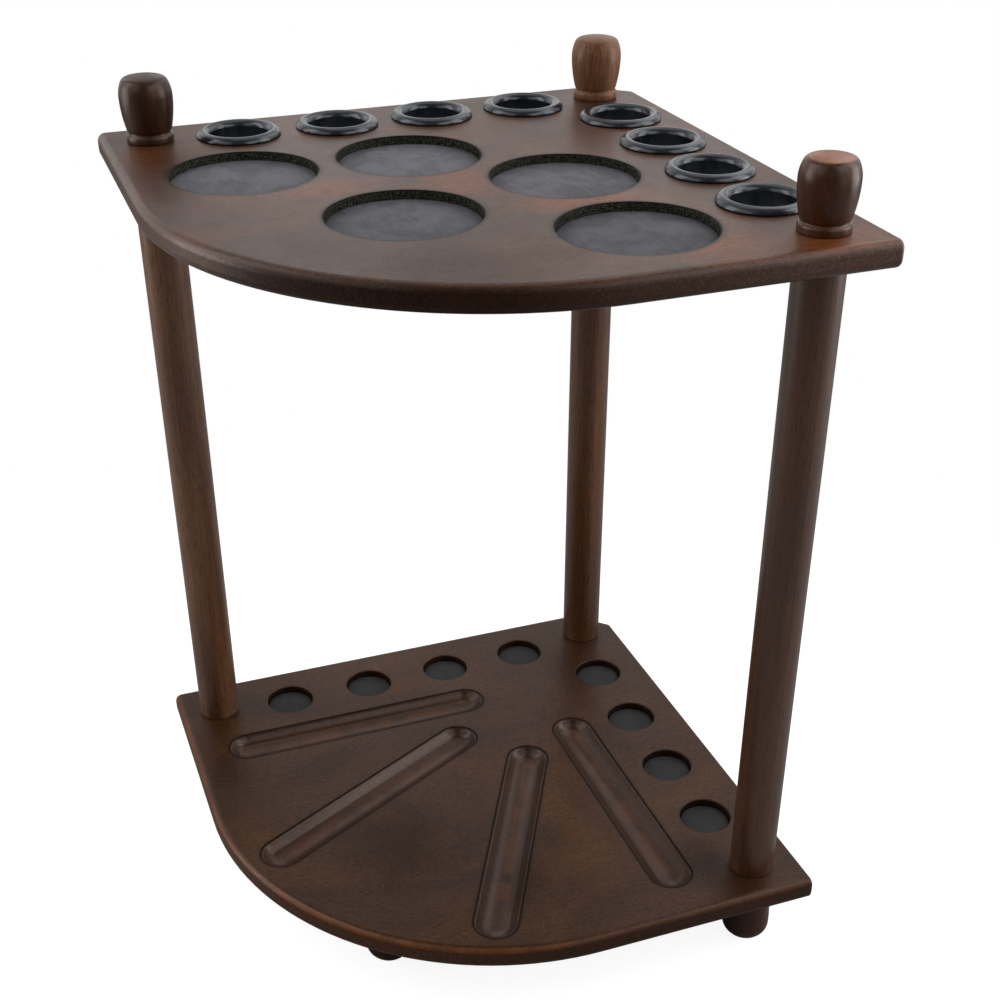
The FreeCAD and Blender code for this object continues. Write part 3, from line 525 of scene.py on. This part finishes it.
def metal(name, tone, rough, seed):
    g = Graph(name)
    cloudy = g.noise(g.coord, 120.0 + seed, 3.0, 0.6)
    lines = g.noise(g.stretch(g.coord, 200.0, 200.0, 4000.0), 1.0, 2.0, 0.5)
    color = g.scale(g.mix(cloudy, tone, tuple(c * 0.75 for c in tone)), g.map(lines, 0.3, 0.7, 0.9, 1.08, False))
    g.surface(
        Base_Color=color,
        Metallic=1.0,
        Roughness=g.add(rough, g.mul(cloudy, 0.15)),
        Normal=g.bump(g.add(lines, g.mul(cloudy, 0.5)), 0.00004, 0.5),
    )
    return g.mat


TOP = board_wood("stained_top", srgb(58, 37, 24), srgb(80, 50, 32), srgb(124, 71, 39), 1.3, "top", (0.72, 0.66, 0.54))
LOW = board_wood("stained_base", srgb(46, 28, 16), srgb(62, 38, 22), srgb(86, 55, 30), 7.9, "low", (0.80, 0.72, 0.48))
POST = {
    "left_post": turned_wood("stained_post_left", srgb(58, 34, 19), srgb(82, 52, 32), srgb(98, 60, 34), 2.1, gain=(1.60, 1.78, 2.05), shine=1.35),
    "back_post": turned_wood("stained_post_back", srgb(58, 34, 19), srgb(82, 52, 32), srgb(98, 60, 34), 6.4, gain=(1.10, 1.08, 1.05), shine=1.25),
    "right_post": turned_wood("stained_post_right", srgb(58, 34, 19), srgb(82, 52, 32), srgb(98, 60, 34), 9.3, gain=(0.72, 0.62, 0.46), shine=1.75),
}
FIN = {
    "left_finial": turned_wood("stained_finial_left", srgb(44, 25, 14), srgb(64, 40, 25), srgb(80, 48, 28), 3.3, soften=0.0030, gain=(0.78, 0.72, 0.66), shine=0.74),
    "right_finial": turned_wood("stained_finial_right", srgb(44, 23, 12), srgb(66, 38, 22), srgb(90, 50, 28), 5.7, top_tone=srgb(146, 88, 52), soften=0.0012, gain=(1.00, 0.85, 0.60), shine=0.95),
    "back_finial": turned_wood("stained_finial_back", srgb(76, 46, 27), srgb(98, 61, 37), srgb(114, 71, 43), 8.2, soften=0.0030, gain=(1.46, 1.68, 1.98), shine=0.58),
}
FOOT = turned_wood("stained_foot", srgb(40, 21, 11), srgb(56, 31, 17), srgb(70, 38, 20), 4.4, gain=(0.95, 0.80, 0.62), shine=0.9)
GROMMET = rubber("grommet_black", srgb(14, 17, 22), srgb(34, 38, 47), 0.27, "grommet")
CUP = rubber("cup_pad_slate", srgb(54, 54, 60), srgb(80, 80, 89), 0.60, "cup")
BUTT = rubber("butt_pad_black", srgb(27, 28, 29), srgb(42, 42, 43), 0.7, "butt")
CUP_SOFT = rubber("cup_pad_soft", srgb(57, 57, 63), srgb(84, 84, 93), 0.60, "cup", True)
BUTT_SOFT = rubber("butt_pad_soft", srgb(27, 28, 29), srgb(42, 42, 43), 0.7, "butt", True)
STEEL = metal("zinc_steel", (0.62, 0.63, 0.65), 0.28, 0)
BRASS = metal("insert_brass", (0.72, 0.52, 0.24), 0.3, 9)


def paint(node, mat):
    data = NODES[node].data
    data.materials.clear()
    data.materials.append(mat)


for n in NODES:
    if n == "top_shelf":
        m = TOP
    elif n == "bottom_shelf":
        m = LOW
    elif n in POST:
        m = POST[n]
    elif n in FIN:
        m = FIN[n]
    elif n.endswith("_foot"):
        m = FOOT
    elif n.startswith("grommet_"):
        m = GROMMET
    elif n.startswith("cup_pad_"):
        m = CUP
    elif n.startswith("butt_pad_"):
        m = BUTT
    elif "insert" in n:
        m = BRASS
    else:
        m = STEEL
    paint(n, m)

# --------------------------------------------------------------------------
# Soft pads: each loose rubber disc gets its own mesh, with a rolled, slightly
# uneven edge and a face that dishes and ripples a little where it is pressed
# --------------------------------------------------------------------------
def soft_pad(node, mat, roll, swell, ripple, seed):
    lo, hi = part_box(node)
    cx, cy = (lo.x + hi.x) / 2, (lo.y + hi.y) / 2
    radius, tall = (hi.x - lo.x) / 2, hi.z - lo.z
    roll = min(roll, 0.45 * tall)
    n = 120
    flat = [k / 18 * (radius - roll) for k in range(1, 19)]
    turn = [math.radians(a) for a in (15, 30, 45, 60, 75, 90)]
    rings = [(r, 0.0) for r in flat]
    rings += [(radius - roll + roll * math.sin(a), roll * (1 - math.cos(a))) for a in turn]
    rings += [(radius, tall - roll)]
    rings += [(radius - roll + roll * math.cos(a), tall - roll + roll * math.sin(a)) for a in turn]
    verts, faces = [], []

    def top_drop(px, py, r):
        """How far the face lies below the top of the pad's space."""
        wave = noise.noise(Vector((px * 42.0 + seed, py * 42.0, seed)))
        wave += 0.5 * noise.noise(Vector((px * 110.0, py * 110.0 + seed, 2.0 * seed)))
        bow = swell * (r / radius) ** 2 * (1.0 + 0.35 * wave)
        return max(0.0, ripple * (0.75 + 0.5 * wave) + bow)

    verts.append((0.0, 0.0, tall - top_drop(0.0, 0.0, 0.0)))
    for r, drop in rings:
        upper = max(0.0, 1.0 - drop / (tall - roll))
        for k in range(n):
            a = 2 * math.pi * k / n
            # the cut edge wanders in by a few hundredths of a millimetre
            w = noise.noise(Vector((math.cos(a) * 3.0 + seed, math.sin(a) * 3.0, 5.0)))
            rr = r - 0.00006 * (1.0 + w) * (r / radius) ** 6
            px, py = rr * math.cos(a), rr * math.sin(a)
            z = tall - drop - top_drop(px, py, rr) * upper
            verts.append((px, py, max(0.0, z)))
    last = len(verts)
    verts.append((0.0, 0.0, 0.0))
    for k in range(n):
        m = (k + 1) % n
        faces.append((0, 1 + k, 1 + m))
        for j in range(len(rings) - 1):
            a, b = 1 + j * n, 1 + (j + 1) * n
            faces.append((a + k, b + k, b + m, a + m))
        a = 1 + (len(rings) - 1) * n
        faces.append((a + k, last, a + m))
    mesh = bpy.data.meshes.new(node + "_soft")
    mesh.from_pydata(verts, [], faces)
    mesh.validate()
    mesh.polygons.foreach_set("use_smooth", [True] * len(mesh.polygons))
    mesh.materials.append(mat)
    mesh.update()
    ob = bpy.data.objects.new(node + "_soft", mesh)
    scene.collection.objects.link(ob)
    ob.location = (cx, cy, lo.z)
    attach(ob, "root")
    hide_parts(node)
    return ob


for k, n in enumerate(sorted(NODES)):
    if n.startswith("cup_pad_"):
        soft_pad(n, CUP_SOFT, 0.0007, 0.00030, 0.00012, 1.3 + k)
    elif n.startswith("butt_pad_"):
        soft_pad(n, BUTT_SOFT, 0.0008, 0.00035, 0.00010, 2.1 + k)

# --------------------------------------------------------------------------
# Studio: pale floor, soft light, camera
# --------------------------------------------------------------------------
bpy.ops.mesh.primitive_plane_add(size=6.0, location=(0, 0, 0))
floor = bpy.context.object
floor.name = "floor"
fg = Graph("floor_pale")
lp = fg.tree.nodes.new("ShaderNodeLightPath")
cam_ray = lp.outputs["Is Camera Ray"]
# lit like a grey card for the light it throws back; to the camera it is a
# white sweep with a faint contact shadow that melts into the white backdrop
base = fg.mix(cam_ray, (0.30, 0.30, 0.30), (0.30, 0.30, 0.30))
bsdf = fg.surface(Base_Color=base, Roughness=0.95, Specular_IOR_Level=0.0)
bsdf.inputs["Emission Color"].default_value = (1, 1, 1, 1)
fg.put(fg.mul(cam_ray, 0.90), bsdf.inputs["Emission Strength"])
away = fg.map(fg.vmath("LENGTH", fg.coord), 0.42, 0.85)
clear = fg.tree.nodes.new("ShaderNodeBsdfTransparent")
melt = fg.tree.nodes.new("ShaderNodeMixShader")
fg.put(fg.mul(away, cam_ray), melt.inputs[0])
fg.link(bsdf.outputs[0], melt.inputs[1])
fg.link(clear.outputs[0], melt.inputs[2])
fg.link(melt.outputs[0], fg.out.inputs[0])
floor.data.materials.append(fg.mat)

world = bpy.data.worlds.new("studio")
scene.world = world
world.use_nodes = True
wt = world.node_tree
wt.nodes.clear()
w_out = wt.nodes.new("ShaderNodeOutputWorld")
w_bg = wt.nodes.new("ShaderNodeBackground")
w_cam = wt.nodes.new("ShaderNodeBackground")
w_mix = wt.nodes.new("ShaderNodeMixShader")
w_path = wt.nodes.new("ShaderNodeLightPath")
w_bg.inputs[0].default_value = (1.0, 0.99, 0.98, 1)
# the room is dimmer behind the camera than behind the rack
w_dir = wt.nodes.new("ShaderNodeTexCoord")
w_dot = wt.nodes.new("ShaderNodeVectorMath")
w_dot.operation = "DOT_PRODUCT"
w_dot.inputs[1].default_value = (0.943, -0.334, 0.0)
w_map = wt.nodes.new("ShaderNodeMapRange")
w_map.interpolation_type = "SMOOTHSTEP"
for key, val in (("From Min", -0.1), ("From Max", 0.85), ("To Min", 0.32), ("To Max", 0.10)):
    w_map.inputs[key].default_value = val
wt.links.new(w_dir.outputs["Generated"], w_dot.inputs[0])
wt.links.new(w_dot.outputs["Value"], w_map.inputs["Value"])
wt.links.new(w_map.outputs["Result"], w_bg.inputs[1])
w_cam.inputs[0].default_value = (1, 1, 1, 1)
w_cam.inputs[1].default_value = 1.0
wt.links.new(w_path.outputs["Is Camera Ray"], w_mix.inputs[0])
wt.links.new(w_bg.outputs[0], w_mix.inputs[1])
wt.links.new(w_cam.outputs[0], w_mix.inputs[2])
wt.links.new(w_mix.outputs[0], w_out.inputs[0])


def softbox(name, az, el, dist, size_x, size_y, power, target=(0, 0, 0.35), color=(1, 1, 1)):
    """az as for the camera views: 0 stands at -Y, 90 at +X."""
    a, e = math.radians(az), math.radians(el)
    d = Vector((math.sin(a) * math.cos(e), -math.cos(a) * math.cos(e), math.sin(e)))
    light = bpy.data.lights.new(name, "AREA")
    light.shape = "RECTANGLE"
    light.size, light.size_y = size_x, size_y
    light.energy = power
    light.color = color
    ob = bpy.data.objects.new(name, light)
    scene.collection.objects.link(ob)
    ob.location = Vector(target) + d * dist
    ob.rotation_euler = (-d).to_track_quat("-Z", "Y").to_euler()
    return ob


# Big soft boxes on both sides of the camera, weaker ones behind the rack and
# almost nothing from the camera's own side: (azimuth, elevation, watts)
for k, (az, el, watts) in enumerate((
    (-20, 8, 8.0),
    (-20, 40, 6.1),
    (25, 40, 2.6),
    (115, 8, 1.6),
    (115, 40, 4.4),
    (160, 8, 9.4),
    (160, 40, 6.4),
    (205, 20, 1.3),
    (205, 50, 3.0),
    (228, 34, 1.0),
    (250, 15, 1.2),
    (250, 72, 1.6),
    (272, 34, 0.9),
    (295, 20, 1.4),
    (295, 50, 0.4),
)):
    softbox("box_%d" % k, az, el, 1.7, 0.9, 0.9, watts)

# camera
az, el, roll = math.radians(-19.513), math.radians(32.202), math.radians(-0.411)
zc = Vector((math.cos(el) * math.cos(az), math.cos(el) * math.sin(az), math.sin(el)))
xc = Vector((0, 0, 1)).cross(zc).normalized()
yc = zc.cross(xc)
x2 = math.cos(roll) * xc + math.sin(roll) * yc
y2 = -math.sin(roll) * xc + math.cos(roll) * yc
place = Vector((0.957607, -0.323241, 0.871039))
cam_data = bpy.data.cameras.new("camera")
cam = bpy.data.objects.new("camera", cam_data)
scene.collection.objects.link(cam)
cam.matrix_world = Matrix((
    (x2.x, y2.x, zc.x, place.x),
    (x2.y, y2.y, zc.y, place.y),
    (x2.z, y2.z, zc.z, place.z),
    (0, 0, 0, 1),
))
cam_data.sensor_width = 36.0
cam_data.lens = 54.849
cam_data.clip_start, cam_data.clip_end = 0.05, 50
scene.camera = cam
# The lens is shifted only while the camera stands at its own place, so that
# views taken from elsewhere stay centred.
spot = bpy.data.objects.new("camera_place", None)
scene.collection.objects.link(spot)
spot.location = place
for path, value in (("shift_x", 0.01543), ("shift_y", 0.1132)):
    drv = cam_data.driver_add(path).driver
    drv.type = "SCRIPTED"
    var = drv.variables.new()
    var.name = "d"
    var.type = "LOC_DIFF"
    var.targets[0].id = cam
    var.targets[1].id = spot
    drv.expression = "%r if d < 0.001 else 0.0" % value
